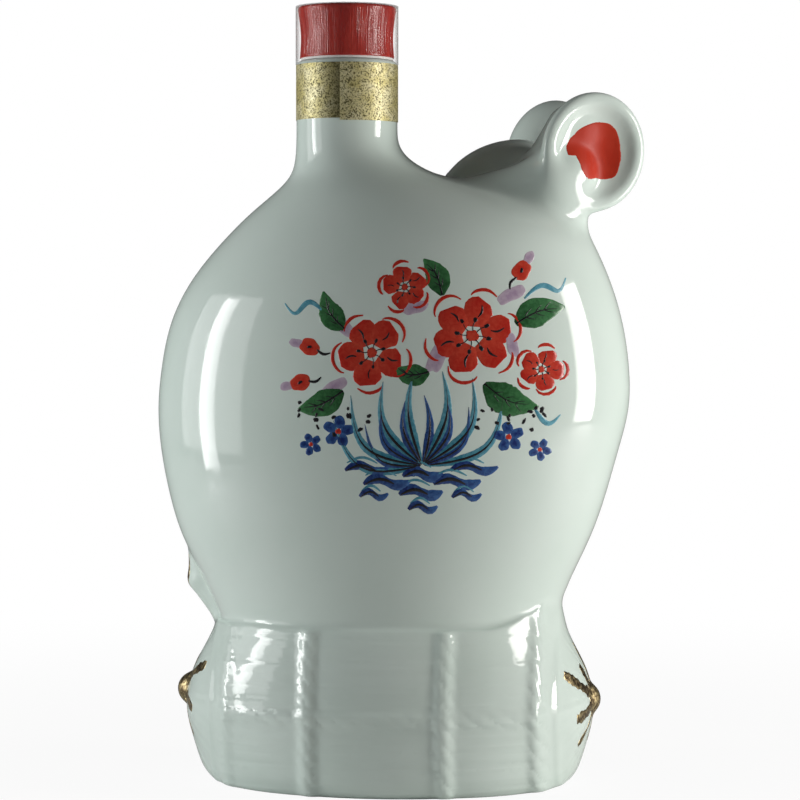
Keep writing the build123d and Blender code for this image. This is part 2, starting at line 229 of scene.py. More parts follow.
def oval_stack(points, centre, wide, deep):
    """Distance to a stack of level ovals whose centre and half sizes follow curves."""
    x, y, z = points.T
    middle, middle_slope = centre(z)
    a, a_slope = wide(z)
    b, b_slope = deep(z)
    across, along = (x - middle) / a, y / b
    size = np.maximum(np.sqrt(across**2 + along**2), 1e-6)
    slope_x, slope_y = across / a / size, along / b / size
    slope_z = -(across * middle_slope / a + across**2 * a_slope / a + along**2 * b_slope / b) / size
    return (size - 1) / np.sqrt(slope_x**2 + slope_y**2 + slope_z**2)


def stack_rows(rows, base, height, reach, inset=0.0):
    """Rows of height, centre, half width and half depth of a stack, from rows of shares."""
    left, right, deep = rows[:, 1] * reach[0], rows[:, 2] * reach[0], rows[:, 3] * reach[1]
    sizes = (right - left) / 2, (left + right) / 2 - inset, deep - inset
    return np.column_stack([base + rows[:, 0] * height, *sizes])


def stack_curves(rows):
    return [Curve(rows[:, 0], rows[:, i]) for i in (1, 2, 3)]


def body_curves():
    """Curves of the outer skin of body and neck."""
    rings = [(BODY_TOP + height, NECK_X, NECK_RADIUS, NECK_RADIUS) for height in NECK_RING_HEIGHTS]
    return stack_curves(np.vstack([stack_rows(BODY_ROWS, BALE_HEIGHT, BODY_HEIGHT, BODY_REACH), rings]))


def cavity_curves():
    """Curves of the body's hollow, squeezed in its upper half to end a wall under the shoulder."""
    rows = stack_rows(BODY_ROWS[:SHOULDER_COUNT], BALE_HEIGHT, BODY_HEIGHT, BODY_REACH, BODY_WALL)
    above = np.maximum(rows[:, 0] - BALE_HEIGHT - BODY_HEIGHT / 2, 0)
    rows[:, 0] -= above * BODY_WALL / above[-1]
    return stack_curves(rows)


BODY_SKIN = body_curves()
BODY_CAVITY = cavity_curves()
CAVITY_TOP = BODY_CAVITY[0].knots[-1]
BALE_OVALS = BALE_ROWS[:, [0, 1, 1, 2]]
BALE_SKIN = stack_curves(stack_rows(BALE_OVALS, 0, BALE_HEIGHT, BALE_REACH))
BALE_CAVITY = stack_curves(
    stack_rows(BALE_OVALS, BALE_FLOOR, BALE_HEIGHT - BALE_FLOOR, BALE_REACH, BALE_WALL)
)
SNOUT_FACING = turn(2, -SNOUT_TURN) @ turn(1, -SNOUT_DIP)


def ripple(values, pitch, seed):
    """Uneven ridges along one coordinate: three waves of nearby pitches, each from -1 to 1."""
    random = np.random.default_rng(seed)
    total = np.zeros_like(values)
    for scale in (0.73, 1.0, 1.41):
        total += np.sin(values * (2 * math.pi / (pitch * scale)) + random.uniform(0, 2 * math.pi))
    return total / 3


def rope(skin, across, along, sunk, seed):
    """Distance to a twisted rope laid in a surface, from the distance to that surface."""
    lay = (along + across * 1.3) * (2 * math.pi / ROPE_TWIST)
    strands = 0.16 * np.abs(np.sin(lay / 2)) - 0.10
    return np.sqrt(across**2 + (skin + sunk) ** 2) - ROPE_RADIUS - strands + 0.03 * ripple(along, 3.1, seed)


def bale(points):
    """Distance to the straw bale with its ropes."""
    x, y, z = points.T
    wide, deep = np.abs(x), np.abs(y)
    drawn = x + 0.06 * np.maximum(x - 30.0, 0)
    skin = oval_stack(np.column_stack([drawn, y, z]), *BALE_SKIN)
    straw = 0.04 * ripple(z + 0.4 * np.sin(x / 9.0), 2.1, 1)
    straw = straw + 0.08 * ripple(z - 0.5 * np.sin(x / 14.0), 4.2, 2)
    bays = np.abs(((x + INNER_ROPE) / (2 * INNER_ROPE)) % 1.0 - 0.5) * 2
    straw = straw + 0.35 * bays**4 - 0.10 * np.cos(z / 5.3) * (1 - bays**4)
    between = rise(wide, 45.5, 44.0) * rise(deep, 12.0, 18.0)
    spoke = np.arctan2(z - END_MIDDLE, deep + 1e-6)
    radial = np.hypot(z - END_MIDDLE, y)
    lid = 0.05 * ripple(spoke * 18.0, 3.4, 5) * rise(radial, 5.0, 11.0) * rise(wide, 47.0, 48.5)
    skin = skin + straw * between + lid
    for i, (place, sunk) in enumerate(ROPES):
        skin = union(skin, rope(skin, x - place, z, sunk, 10 + i), 2.6)
    level = rope(skin, z - GIRDLE_HEIGHT, x, GIRDLE_SUNK, 20) + np.maximum(wide - OUTER_ROPE, 0)
    skin = union(skin, level, 2.0)
    for side, (place, height) in zip((-1, 1), KNOTS):
        rim = np.hypot(side * x - END_RIM, skin + 1.0) - 1.0
        skin = union(skin, rim, 1.2)
        skin = union(skin, ball(points, (place, 0, height), KNOT_RADIUS), 2.0)
    brim = BALE_HEIGHT - 1.0 + 7.6 * rise(x, 28.0, 46.0) ** 2
    return overlap(overlap(skin, -z, 2.4), z - brim, 1.4)


def body(points):
    """Distance to the body with its neck."""
    z = points[:, 2]
    skin = oval_stack(points, *BODY_SKIN)
    return overlap(overlap(skin, BODY_BASE - z, 1.0), z - NECK_TOP, 3.0)


def skull(points, inset=0.0):
    """Distance to the skull, which reaches farther over the shoulder than to the outer side."""
    inner = points[:, :1] < SKULL_PLACE[0]
    return egg(points, SKULL_PLACE, np.where(inner, SKULL_REACH, SKULL_REACH - SKULL_SHORT) - inset)


def head(points):
    """Distance to skull, snout and nose."""
    snout_place = HEAD_PLACE + SNOUT_FACING @ np.array((-SNOUT_AHEAD, 0, 0))
    snout = egg(points, snout_place, SNOUT_REACH, SNOUT_FACING)
    nose_place = HEAD_PLACE + SNOUT_FACING @ np.array((-SNOUT_AHEAD - SNOUT_REACH[0], 0, NOSE_RADIUS / 2))
    nose = ball(points, nose_place, NOSE_RADIUS)
    return union(union(skull(points), snout, 12.0), nose, 1.5)


def ear_facing(side):
    return turn(2, -side * EAR_TURN) @ turn(1, EAR_ROLL)


def ear(points, place, root, side):
    """Distance to an ear: a dish with a thick round rim on a stalk."""
    facing = ear_facing(side)
    place = np.asarray(place, float)
    rim_place = place + facing @ np.array((0, side * EAR_HALF_DEPTH, 0))
    local = (points - rim_place) @ facing
    sunk = -side * local[:, 1]
    bowl = overlap(egg(local, np.zeros(3), EAR_REACH), -sunk, 5.6)
    back = place - facing @ np.array((0, side * (EAR_HALF_DEPTH - EAR_RIM), 0))
    bowl = union(bowl, limb(points, back, root, STALK_RADII), 6.0)
    return overlap(bowl, -egg(local, np.zeros(3), EAR_DISH), 6.0)


def ear_root(points):
    """Distance to the collar of the near ear and the ridge that runs from it along the shoulder."""
    first, second, back, ridge = (limb(points, *part) for part in EAR_COLLAR)
    return union(union(union(first, second, 6.0), back, 4.0), ridge, 8.0)


def foot(points, place, heading):
    """Distance to a hind foot with its toes."""
    facing = turn(2, heading)
    total = egg(points, place, FOOT_REACH, facing)
    for i in range(4):
        toe = np.array((FOOT_REACH[0] - TOE_RADIUS, (i - 1.5) * TOE_PITCH, -TOE_RADIUS / 2))
        total = union(total, ball(points, place + facing @ toe, TOE_RADIUS), 1.0)
    return total


def instep(points):
    """Distance to the instep and heel of the left foot."""
    return union(*(limb(points, *part) for part in INSTEP), 1.0)


def tail(points):
    """Distance to the tail, a chain of tapering limbs on a curve through its points."""
    curves = [Curve(np.linspace(0, 1, len(TAIL)), axis) for axis in zip(*TAIL)]
    shares = np.linspace(0, 1, 7)
    chain = np.column_stack([curve(shares)[0] for curve in curves])
    radii = TAIL_RADII[0] + shares * (TAIL_RADII[1] - TAIL_RADII[0])
    limbs = [limb(points, *chain[i : i + 2], radii[i : i + 2]) for i in range(len(chain) - 1)]
    return np.min(limbs, axis=0)


def near(points, low, high, field):
    """A field worked out only near a box, and kept at a safe large distance elsewhere."""
    low, high = np.asarray(low, float), np.asarray(high, float)
    away = np.maximum(np.maximum(low - points, points - high), 0)
    away = np.sqrt((away**2).sum(1))
    total = away + 6.0
    close = away < 12.0
    if close.any():
        total[close] = np.minimum(total[close] + 60.0, field(points[close]))
    return total


def limb_part(low, high, margin, field, blend, *about):
    """A limb for the skin: the box that holds it, its field and how softly it joins."""
    return np.array(low) - margin, np.array(high) + margin, lambda points: field(points, *about), blend


# The limbs, in the order in which they join the body
LIMBS = [
    *(limb_part(np.minimum(*one[:2]), np.maximum(*one[:2]), 18, ear, 4.0, *one) for one in EARS),
    *(limb_part(place, place, 18, egg, 2.5, place, PAW_REACH, turn(1, lean)) for place, lean in PAWS),
    *(limb_part(place, place, 16, foot, 1.8, place, heading) for place, heading in FEET),
    ((-60, -5, 42), (-42, 11, 73), instep, 5.0),
    ((16, 10, 44), (48, 40, 56), tail, 1.2),
]


def outside(points):
    """Distance to the outer skin of all the porcelain."""
    x, total = points[:, 0], body(points)
    parts = [
        ((-62, -43, -1), (62, 43, 54), bale, 2.4 + 2.2 * rise(np.abs(x), 46.0, 38.0)),
        ((-12, 1, 128), (62, 56, 184), head, 3.0 + 9.0 * rise(x, 12.0, 32.0)),
        ((6, -16, 141), (64, 18, 188), ear_root, 9.0),
        *LIMBS,
    ]
    for low, high, field, blend in parts:
        total = union(total, near(points, low, high, field), blend)
    return total


def cavity(points):
    """Distance to the hollow inside, with the bore of the neck."""
    z = points[:, 2]
    belly = overlap(oval_stack(points, *BODY_CAVITY), z - CAVITY_TOP, 1.0)
    belly = overlap(belly, BODY_BASE - z, 1.0)
    base = overlap(oval_stack(points, *BALE_CAVITY), BALE_FLOOR - z, 3.0)
    base = overlap(base, z - BALE_HEIGHT, 1.0)
    bore = np.hypot(points[:, 0] - NECK_X, points[:, 1]) - BORE_RADIUS
    bore = np.maximum(bore, BORE_BASE - z)
    return union(union(union(belly, base, 2.0), skull(points, HEAD_WALL), 3.0), bore, 3.0)


def porcelain(points):
    """Distance to the porcelain: skin less hollow, with a rounded pouring lip."""
    return overlap(outside(points), -cavity(points), 1.6)


def in_batches(field, points, batch=200000):
    return np.concatenate([field(points[i : i + batch]) for i in range(0, len(points), batch)])


def gradients(field, points, reach=0.02):
    """Unit normals of a field, from four corners of a small tetrahedron, with its value."""
    corners = np.array(((1, 1, 1), (1, -1, -1), (-1, 1, -1), (-1, -1, 1)), float)
    total = np.zeros_like(points)
    value = np.zeros(len(points))
    for corner in corners:
        sample = in_batches(field, points + corner * reach)
        total += corner * sample[:, None]
        value += sample
    size = np.sqrt((total**2).sum(1))
    slope = size / (4 * reach)
    return total / np.maximum(size, 1e-12)[:, None], value / 4, slope


def settle(field, points, rounds=2):
    """Moves points onto the surface of a field."""
    for _ in range(rounds):
        normal, value, slope = gradients(field, points)
        step = np.clip(value / np.maximum(slope, 0.3), -0.4, 0.4)
        points = points - normal * step[:, None]
    return points


def surface_net(field, low, high, step, levels):
    """Quads over the surface of a field, found from coarse cells down to fine ones."""
    low = np.asarray(low, float)
    size = step * 2**levels
    counts = np.ceil((np.asarray(high) - low) / size).astype(int)
    cells, corners = (np.indices(shape).reshape(3, -1).T for shape in (counts, (2, 2, 2)))
    for _ in range(levels):
        value = in_batches(field, low + (cells + 0.5) * size)
        cells = cells[np.abs(value) < size * 1.25]
        cells = (2 * cells[:, None, :] + corners).reshape(-1, 3)
        size /= 2
    span = (counts * 2**levels + 2).astype(np.int64)

    def key(index):
        return (index[..., 0].astype(np.int64) * span[1] + index[..., 1]) * span[2] + index[..., 2]

    cell_keys = key(cells)
    order = np.argsort(cell_keys)
    cells, cell_keys = cells[order], cell_keys[order]
    node_keys, back = np.unique(key(cells[:, None, :] + corners), return_inverse=True)
    back = back.reshape(-1, 8)
    plane = span[1] * span[2]
    nodes = np.stack([node_keys // plane, node_keys // span[2] % span[1], node_keys % span[2]], -1)
    value = in_batches(field, low + nodes * size)
    at_corner = value[back]
    crossed = (at_corner.min(1) < 0) & (at_corner.max(1) >= 0)
    cells, cell_keys, at_corner = cells[crossed], cell_keys[crossed], at_corner[crossed]
    total, hits = np.zeros((len(cells), 3)), np.zeros(len(cells))
    for a in range(8):
        for b in range(a + 1, 8):
            if np.abs(corners[a] - corners[b]).sum() != 1:
                continue
            first, second = at_corner[:, a], at_corner[:, b]
            cross = (first < 0) != (second < 0)
            share = np.where(cross, first / np.where(cross, first - second, 1), 0)
            total += np.where(cross[:, None], corners[a] + share[:, None] * (corners[b] - corners[a]), 0)
            hits += cross
    points = low + (cells + total / hits[:, None]) * size
    quads = []
    for axis in range(3):
        far = nodes.copy()
        far[:, axis] += 1
        far_keys = key(far)
        found = np.clip(np.searchsorted(node_keys, far_keys), 0, len(node_keys) - 1)
        known = node_keys[found] == far_keys
        cross = known & ((value < 0) != (value[found] < 0))
        base = nodes[cross]
        side_a, side_b = np.eye(3, dtype=int)[[(axis + 1) % 3, (axis + 2) % 3]]
        ring = np.stack([base - side_a - side_b, base - side_b, base, base - side_a], 1)
        ring_keys = key(ring)
        place = np.clip(np.searchsorted(cell_keys, ring_keys), 0, len(cell_keys) - 1)
        whole = (cell_keys[place] == ring_keys).all(1)
        faces = place[whole]
        flip = value[cross][whole] >= 0
        faces[flip] = faces[flip][:, ::-1]
        quads.append(faces)
    return points, np.concatenate(quads)


# Blender meshes
def new_mesh(name, points, faces):
    """A smooth mesh from points in millimetres and equal-sided faces."""
    mesh = bpy.data.meshes.new(name)
    sides = faces.shape[1]
    mesh.vertices.add(len(points))
    mesh.vertices.foreach_set("co", (points * MM).astype(np.float32).ravel())
    mesh.loops.add(faces.size)
    mesh.loops.foreach_set("vertex_index", faces.astype(np.int32).ravel())
    mesh.polygons.add(len(faces))
    mesh.polygons.foreach_set("loop_start", np.arange(0, faces.size, sides, dtype=np.int32))
    mesh.polygons.foreach_set("use_smooth", np.ones(len(faces), bool))
    mesh.update(calc_edges=True)
    mesh.validate()
    return mesh


def new_object(name, data):
    piece = bpy.data.objects.new(name, data)
    bpy.context.scene.collection.objects.link(piece)
    return piece


def mesh_points(mesh):
    """A mesh's points in millimetres."""
    points = np.zeros(len(mesh.vertices) * 3, np.float32)
    mesh.vertices.foreach_get("co", points)
    return points.reshape(-1, 3).astype(float) / MM


def thin_out(piece, share):
    """Fewer faces where a mesh is flat."""
    cut = piece.modifiers.new("thin", "DECIMATE")
    cut.ratio = share
    depsgraph = bpy.context.evaluated_depsgraph_get()
    mesh = bpy.data.meshes.new_from_object(piece.evaluated_get(depsgraph))
    piece.modifiers.clear()
    piece.data = mesh


# The porcelain's mesh: the box that holds it, its cells' size, quick and full, and its number of triangles
MESH_BOX = ((-72.0, -46.0, -2.4), (74.0, 68.0, 206.0))
MESH_STEPS = (1.2, 0.7)
TRIANGLES = 190000


def porcelain_piece():
    """The whole glazed figure as one mesh with the field's own normals."""
    step = MESH_STEPS[1]
    points, quads = surface_net(porcelain, *MESH_BOX, step, 3)
    points = settle(porcelain, points, 1)
    piece = new_object("porcelain", new_mesh("porcelain", points, quads))
    if 2 * len(quads) > TRIANGLES:
        thin_out(piece, TRIANGLES / (2 * len(quads)))
    mesh = piece.data
    points = settle(porcelain, mesh_points(mesh), 2)
    mesh.vertices.foreach_set("co", (points * MM).astype(np.float32).ravel())
    normals = gradients(porcelain, points)[0]
    mesh.polygons.foreach_set("use_smooth", np.ones(len(mesh.polygons), bool))
    mesh.update()
    mesh.normals_split_custom_set_from_vertices([tuple(n) for n in normals])
    return piece


# Painting and gilding: thin raised enamel pressed onto the porcelain, each patch a little above the last
PRESS_ROUNDS = 26
EDGE_UNDER = 0.03
PATCH_UNDER = 0.06
PATCH_STEP = 0.004
STROKE_STEP = 0.7


class Canvas:
    """A flat sheet held off the figure, whose drawings are pressed straight onto the porcelain."""

    def __init__(self, origin, right, up):
        self.origin = np.asarray(origin, float)
        self.right = np.asarray(right, float)
        self.up = np.asarray(up, float)
        self.ahead = np.cross(self.up, self.right)

    def place(self, sheet):
        return self.origin + sheet[..., :1] * self.right + sheet[..., 1:] * self.up


def facing_canvas(target, towards, stand_off):
    """A canvas that looks at a point of the figure from a direction."""
    out = np.asarray(towards, float) / np.linalg.norm(towards)
    right = np.cross((0.0, 0.0, 1.0), out)
    right /= np.linalg.norm(right)
    return Canvas(np.asarray(target, float) + out * stand_off, right, np.cross(out, right))


def uneven(count):
    """Places from -1 to 1 across a patch, with two close together at each edge, and its profile."""
    inner = np.linspace(-0.9, 0.9, count - 2)
    places = np.concatenate([[-1.0], inner, [1.0]])
    profile = np.ones(count)
    profile[[0, -1]] = 0.0
    profile[[1, -2]] = 0.75
    return places, profile


class Enamel:
    """All patches of one colour, which become one mesh."""

    def __init__(self, name, lift):
        self.name, self.lift, self.patches = name, lift, []

    def lay(self, canvas, sheet, profile, wash):
        self.patches.append((canvas, sheet, profile, wash))

    def stroke(self, canvas, path, widths, wash=(0.0, 1.0), rough=0.0, seed=0):
        """A brush stroke along a smooth path, with widths spread evenly over its length."""
        path = np.asarray(path, float)
        knots = np.linspace(0, 1, len(path))
        length = np.linalg.norm(np.diff(path, axis=0), axis=1).sum()
        count = int(np.clip(length / STROKE_STEP, 9, 60))
        shares, ends = uneven(count)
        shares = (shares + 1) / 2
        x, x_slope = Curve(knots, path[:, 0])(shares)
        y, y_slope = Curve(knots, path[:, 1])(shares)
        size = np.maximum(np.hypot(x_slope, y_slope), 1e-6)
        wide = np.maximum(Curve(np.linspace(0, 1, len(widths)), widths)(shares)[0], 0.1) / 2
        if rough:
            random = np.random.default_rng(seed)
            wide = wide * (1 + rough * random.uniform(-1, 1, count))
        across, sides = uneven(7)
        offset = across[None, :] * wide[:, None]
        turn_x, turn_y = (y_slope / size)[:, None], (x_slope / size)[:, None]
        sheet = np.stack([x[:, None] - offset * turn_x, y[:, None] + offset * turn_y], -1)
        along = wash[0] + (wash[1] - wash[0]) * shares[:, None] + 0.25 * across[None, :] ** 2
        self.lay(canvas, sheet, np.minimum(ends[:, None], sides[None, :]), along)

    def blob(self, canvas, centre, reach, angle=0.0, wobble=0.05, seed=0, wash=(0.0, 1.0), outline=None):
        """A round patch with an uneven edge; an outline gives its reach at angles in degrees."""
        random = np.random.default_rng(seed)
        count = 9 if max(reach) < 1.5 else 41 if outline else 17
        places, profile = uneven(count)
        u, v = np.meshgrid(places, places, indexing="ij")
        x, y = u * np.sqrt(1 - v**2 / 2), v * np.sqrt(1 - u**2 / 2)
        radial = np.clip(np.hypot(x, y), 0, 1)
        around = np.arctan2(y, x)
        edge = np.ones_like(around)
        for k in range(2, 7):
            wave = random.uniform(0.3, 1) * np.sin(k * around + random.uniform(0, 2 * math.pi))
            edge += wobble * wave / k**0.5
        if outline:
            edge *= np.interp(np.degrees(around) % 360, *zip(*outline), period=360)
        x, y = x * edge * reach[0], y * edge * reach[1]
        c, s = math.cos(math.radians(angle)), math.sin(math.radians(angle))
        sheet = np.stack([centre[0] + x * c - y * s, centre[1] + x * s + y * c], -1)
        fade = wash[0] + (wash[1] - wash[0]) * radial
        self.lay(canvas, sheet, np.minimum(profile[:, None], profile[None, :]), fade)

    def piece(self, look):
        """Presses every patch onto the porcelain and joins them in one closed-walled mesh."""
        starts = np.concatenate([c.place(s).reshape(-1, 3) for c, s, _, _ in self.patches])
        ahead = np.concatenate([np.tile(c.ahead, (s[..., 0].size, 1)) for c, s, _, _ in self.patches])
        thick = np.concatenate([
            (p * (self.lift + EDGE_UNDER + PATCH_STEP * (i % 5))).ravel() - EDGE_UNDER
            for i, (_, _, p, _) in enumerate(self.patches)
        ])
        wash = np.concatenate([w.ravel() for _, _, _, w in self.patches])
        hits = starts
        for _ in range(PRESS_ROUNDS):
            hits = hits + ahead * outside(hits)[:, None]
        hits = settle(outside, hits, 1)
        normals = gradients(outside, hits, 0.2)[0]
        count = len(hits)
        points = np.concatenate([hits + normals * thick[:, None], hits - normals * PATCH_UNDER])
        faces, first = [], 0
        for _, sheet, _, _ in self.patches:
            rows, columns = sheet.shape[:2]
            index = first + np.arange(rows * columns).reshape(rows, columns)
            a, b, c, d = index[:-1, :-1], index[1:, :-1], index[1:, 1:], index[:-1, 1:]
            top = np.stack([a, b, c, d], -1).reshape(-1, 4)
            rim = np.concatenate([index[:-1, 0], index[-1, :-1], index[:0:-1, -1], index[0, :0:-1]])
            wall = np.stack([rim, rim + count, np.roll(rim, -1) + count, np.roll(rim, -1)], -1)
            faces += [top, top[:, ::-1] + count, wall]
            first += rows * columns
        mesh = new_mesh(self.name, points, np.concatenate(faces))
        values = mesh.attributes.new("wash", "FLOAT", "POINT")
        values.data.foreach_set("value", np.concatenate([wash, wash]).astype(np.float32))
        piece = new_object(self.name, mesh)
        mesh.materials.append(look)
        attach(piece, "vessel")
        return piece


BACK = Canvas((12.0, -70.0, 112.7), (1, 0, 0), (0, 0, 1))
RED = Enamel("painting_red", 0.05)
EAR_RED = Enamel("painting_ears", 0.05)
GREEN = Enamel("painting_green", 0.05)
TEAL = Enamel("painting_teal", 0.045)
NAVY = Enamel("painting_navy", 0.05)
VIOLET = Enamel("painting_violet", 0.03)
BLACK = Enamel("painting_black", 0.075)
GOLD = Enamel("gilding", 0.05)
DICE = np.random.default_rng(11)


def ray(centre, angle, reach):
    """The point at a distance from a centre, at an angle in degrees."""
    bent = math.radians(angle)
    return centre[0] + reach * math.cos(bent), centre[1] + reach * math.sin(bent)


def rays(centre, angle, size, *steps):
    """Points about a centre, each from its turn off an angle and its reach as a share of a size."""
    return [ray(centre, angle + turned, size * share) for turned, share in steps]


PETAL_EDGE = ((-1, 0.86), (-0.55, 1.04), (0.05, 1.10), (0.6, 1.03), (0.85, 0.93))


def blossom(centre, size, petals, turned):
    """A round flower: a ring of broad red petals with loose outlines, a heart, and black stamens."""
    wide = 2 * math.pi * size * 0.60 / petals
    widths = [share * wide for share in (0.5, 0.9, 1.08, 1.05, 0.55)]
    for i in range(petals):
        angle = turned + i * 360 / petals + DICE.uniform(-4, 4)
        reach = size * DICE.uniform(0.84, 0.94)
        bend = DICE.uniform(-8, 8)
        path = rays(centre, angle, size, (0, 0.20), (bend, 0.56)) + rays(centre, angle, reach, (0, 1))
        RED.stroke(BACK, path, widths, (0.9, 0.0), 0.04, i)
        if size > 5:
            edge = rays(centre, angle, size, *((share * 150 / petals, out) for share, out in PETAL_EDGE))
            RED.stroke(BACK, edge[i % 2 :], (0.3, 0.8, 1.0, 0.7, 0.25), (0.3, 0.1), 0.06, i + 7)
            vein = rays(centre, angle, size, (5, 0.42), (-2, 0.58), (3, 0.76))
            BLACK.stroke(BACK, vein, (0.2, 0.06 * size, 0.2))
    for i in range(petals + 2):
        angle = turned + 20 + i * 360 / (petals + 2)
        reach = size * DICE.uniform(0.28, 0.36)
        stamen = rays(centre, angle, size, (0, 0.10)) + rays(centre, angle, reach, (6, 0.7), (0, 1))
        BLACK.stroke(BACK, stamen, (0.3, 0.25, 0.35))
        tip = ray(centre, angle, reach + 0.05 * size)
        BLACK.blob(BACK, tip, (0.065 * size, 0.05 * size), angle, 0.1, i)
    RED.blob(BACK, centre, (size * 0.15, size * 0.14), 0, 0.12, petals, (1.0, 0.6))


def leaf(start, angle, length, bend, wide):
    """A broad pointed green leaf with black veins."""
    middle = ray(ray(start, angle, length * 0.5), angle + 90, bend)
    widths = (0.8, wide * 0.9, wide, wide * 0.62, 0.2)
    GREEN.stroke(BACK, [start, middle, ray(start, angle, length)], widths, (0.0, 0.9), 0.05, int(length * 7))
    BLACK.stroke(BACK, [start, middle, ray(start, angle, length * 0.88)], (0.5, 0.45, 0.12))
    for share in (0.22, 0.42, 0.60):
        root = ray(ray(start, angle, length * share), angle + 90, bend * 0.9)
        for side in (-1, 1):
            vein = rays(root, angle, wide, (0, 0), (side * 38, 0.18), (side * 32, 0.36))
            BLACK.stroke(BACK, vein, (0.35, 0.3, 0.1))


def blade(start, angle, length, bend, layer, wide):
    """A slender arching blade of grass with a dark rib."""
    middle = ray(ray(start, angle, length * 0.55), angle + 90, bend)
    path = [start, middle, ray(ray(start, angle, length), angle + 90, -bend * 0.4)]
    layer.stroke(BACK, path, (0.5, wide, wide * 0.9, wide * 0.5, 0.12), (0.0, 1.0), 0.06, int(angle))
    BLACK.stroke(BACK, path, (0.3, 0.28 * wide, 0.2 * wide, 0.12, 0.05))


def star_flower(centre, size, turned):
    """A small navy flower of five round petals with a red heart."""
    for i in range(5):
        place = ray(centre, turned + 72 * i, size * 0.60)
        NAVY.blob(BACK, place, (size * 0.44, size * 0.36), turned + 72 * i, 0.08, i, (0.0, 0.8))
    RED.blob(BACK, centre, (size * 0.2, size * 0.2), 0, 0.1, 3)


def paint_spray():
    """The spray on the painted back: blossoms over arching grass that stands in rippled water."""
    for centre, reach, angle in (
        ((5.0, 6.0), (5.0, 2.4), 60), ((24.0, 22.5), (4.2, 1.9), 30), ((-21.0, 14.5), (4.4, 1.8), 140),
        ((-1.0, 19.0), (3.6, 1.7), 20), ((24.5, 9.0), (3.4, 1.6), 110), ((-22.5, -2.0), (4.0, 1.7), 30),
    ):
        VIOLET.blob(BACK, centre, reach, angle, 0.12, int(angle))
    for layer, angle, length, bend, wide in (
        (TEAL, 97, 25, 2.0, 2.8), (TEAL, 76, 26, -3.0, 3.0), (TEAL, 118, 25, 4.0, 2.8),
        (TEAL, 57, 27, -5.0, 2.7), (TEAL, 140, 27, 6.0, 2.7), (TEAL, 38, 29, -6.5, 2.5),
        (TEAL, 158, 27, 6.5, 2.3), (NAVY, 87, 19, -1.5, 2.4), (NAVY, 107, 18, 2.0, 2.4),
        (NAVY, 67, 19, -3.0, 2.3), (NAVY, 129, 19, 4.0, 2.3), (NAVY, 48, 20, -4.0, 2.1),
        (NAVY, 149, 19, 4.5, 2.0),
    ):
        blade((1.0, -23.0), angle, length, bend, layer, wide)
    for start, *shape in (
        ((3.0, 2.0), 172, 10.0, 1.6, 6.0), ((6.0, 22.0), 118, 11.5, -1.2, 6.4),
        ((25.0, 14.5), 20, 14.0, 1.2, 8.2), ((-19.5, 13.0), 122, 12.5, 1.4, 6.6),
        ((17.0, -1.0), -24, 16.0, -1.8, 8.4), ((-20.0, -3.0), 202, 14.0, 1.2, 7.4),
    ):
        leaf(start, *shape)
    for path in (
        [(27.0, 21.0), (32.0, 25.0), (36.0, 23.5), (38.0, 27.5)],
        [(-25.0, 17.0), (-30.0, 20.5), (-33.5, 17.5), (-37.0, 20.5)],
        [(30.0, -7.5), (33.5, -12.0), (37.0, -9.5)],
    ):
        TEAL.stroke(BACK, path, (0.4, 1.5, 1.1, 0.3), (0.5, 1.0))
    blossom((14.0, 11.5), 11.6, 6, 15)
    blossom((-12.5, 7.0), 9.8, 5, 50)
    blossom((32.0, 2.5), 6.2, 5, 0)
    blossom((-4.0, 24.5), 6.4, 5, 30)
    for centre, angle in (((-29.5, 8.5), 165), ((-32.0, -1.0), 195), ((26.5, 29.0), 62)):
        RED.blob(BACK, centre, (3.0, 2.3), angle, 0.08, int(angle))
        VIOLET.blob(BACK, ray(centre, angle, 3.9), (2.0, 1.3), angle, 0.1, int(angle) + 1)
        stem = rays(centre, angle, 1.0, (180, 6.0), (168, 4.2), (180, 2.0))
        BLACK.stroke(BACK, stem, (0.3, 0.8, 0.4))
        BLACK.blob(BACK, centre, (0.8, 0.45), angle + 20, 0.1, 2)
    for centre, size, turned in (
        ((-21.5, -14.0), 4.2, 10), ((-29.0, -17.5), 3.0, 40),
        ((23.5, -15.5), 4.0, 25), ((31.5, -19.0), 3.0, 60),
    ):
        star_flower(centre, size, turned)
    for i in range(30):
        side = -1 if i % 2 else 1
        spot = (side * DICE.uniform(11, 34) + 1, DICE.uniform(-13, -7) + DICE.uniform(-3, 3))
        reach = (DICE.uniform(0.5, 0.95), DICE.uniform(0.35, 0.6))
        BLACK.blob(BACK, spot, reach, DICE.uniform(0, 180), 0.15, i)
    for i, (across, up, long, wide) in enumerate((
        (-13.5, -24.0, 13.0, 2.6), (14.5, -24.0, 13.0, 2.6), (1.0, -25.5, 11.0, 3.2),
        (-8.5, -27.6, 13.0, 3.0), (10.0, -27.6, 13.0, 3.0), (0.5, -30.4, 12.0, 3.2),
        (-12.0, -31.0, 8.0, 2.0), (12.5, -31.2, 8.0, 2.0), (1.0, -34.4, 8.0, 2.2),
    )):
        path = [
            (across + share * long, up + lift)
            for share, lift in ((-1 / 2, -0.5), (-1 / 6, 1.1), (1 / 6, -0.6), (1 / 2, 0.7))
        ]
        NAVY.stroke(BACK, path, (0.6, wide, 0.8 * wide, wide, 0.4), (0.0, 0.8), 0.06, i)
        BLACK.stroke(BACK, [(x + 0.4, y - 0.1) for x, y in path[:3]], (0.2, 0.36 * wide, 0.3))
        edge = [(x + 0.6, y + 0.78 * wide) for x, y in path[:3]]
        TEAL.stroke(BACK, edge, (0.3, 0.8, 0.3), (0.2, 0.8), 0.05, i)


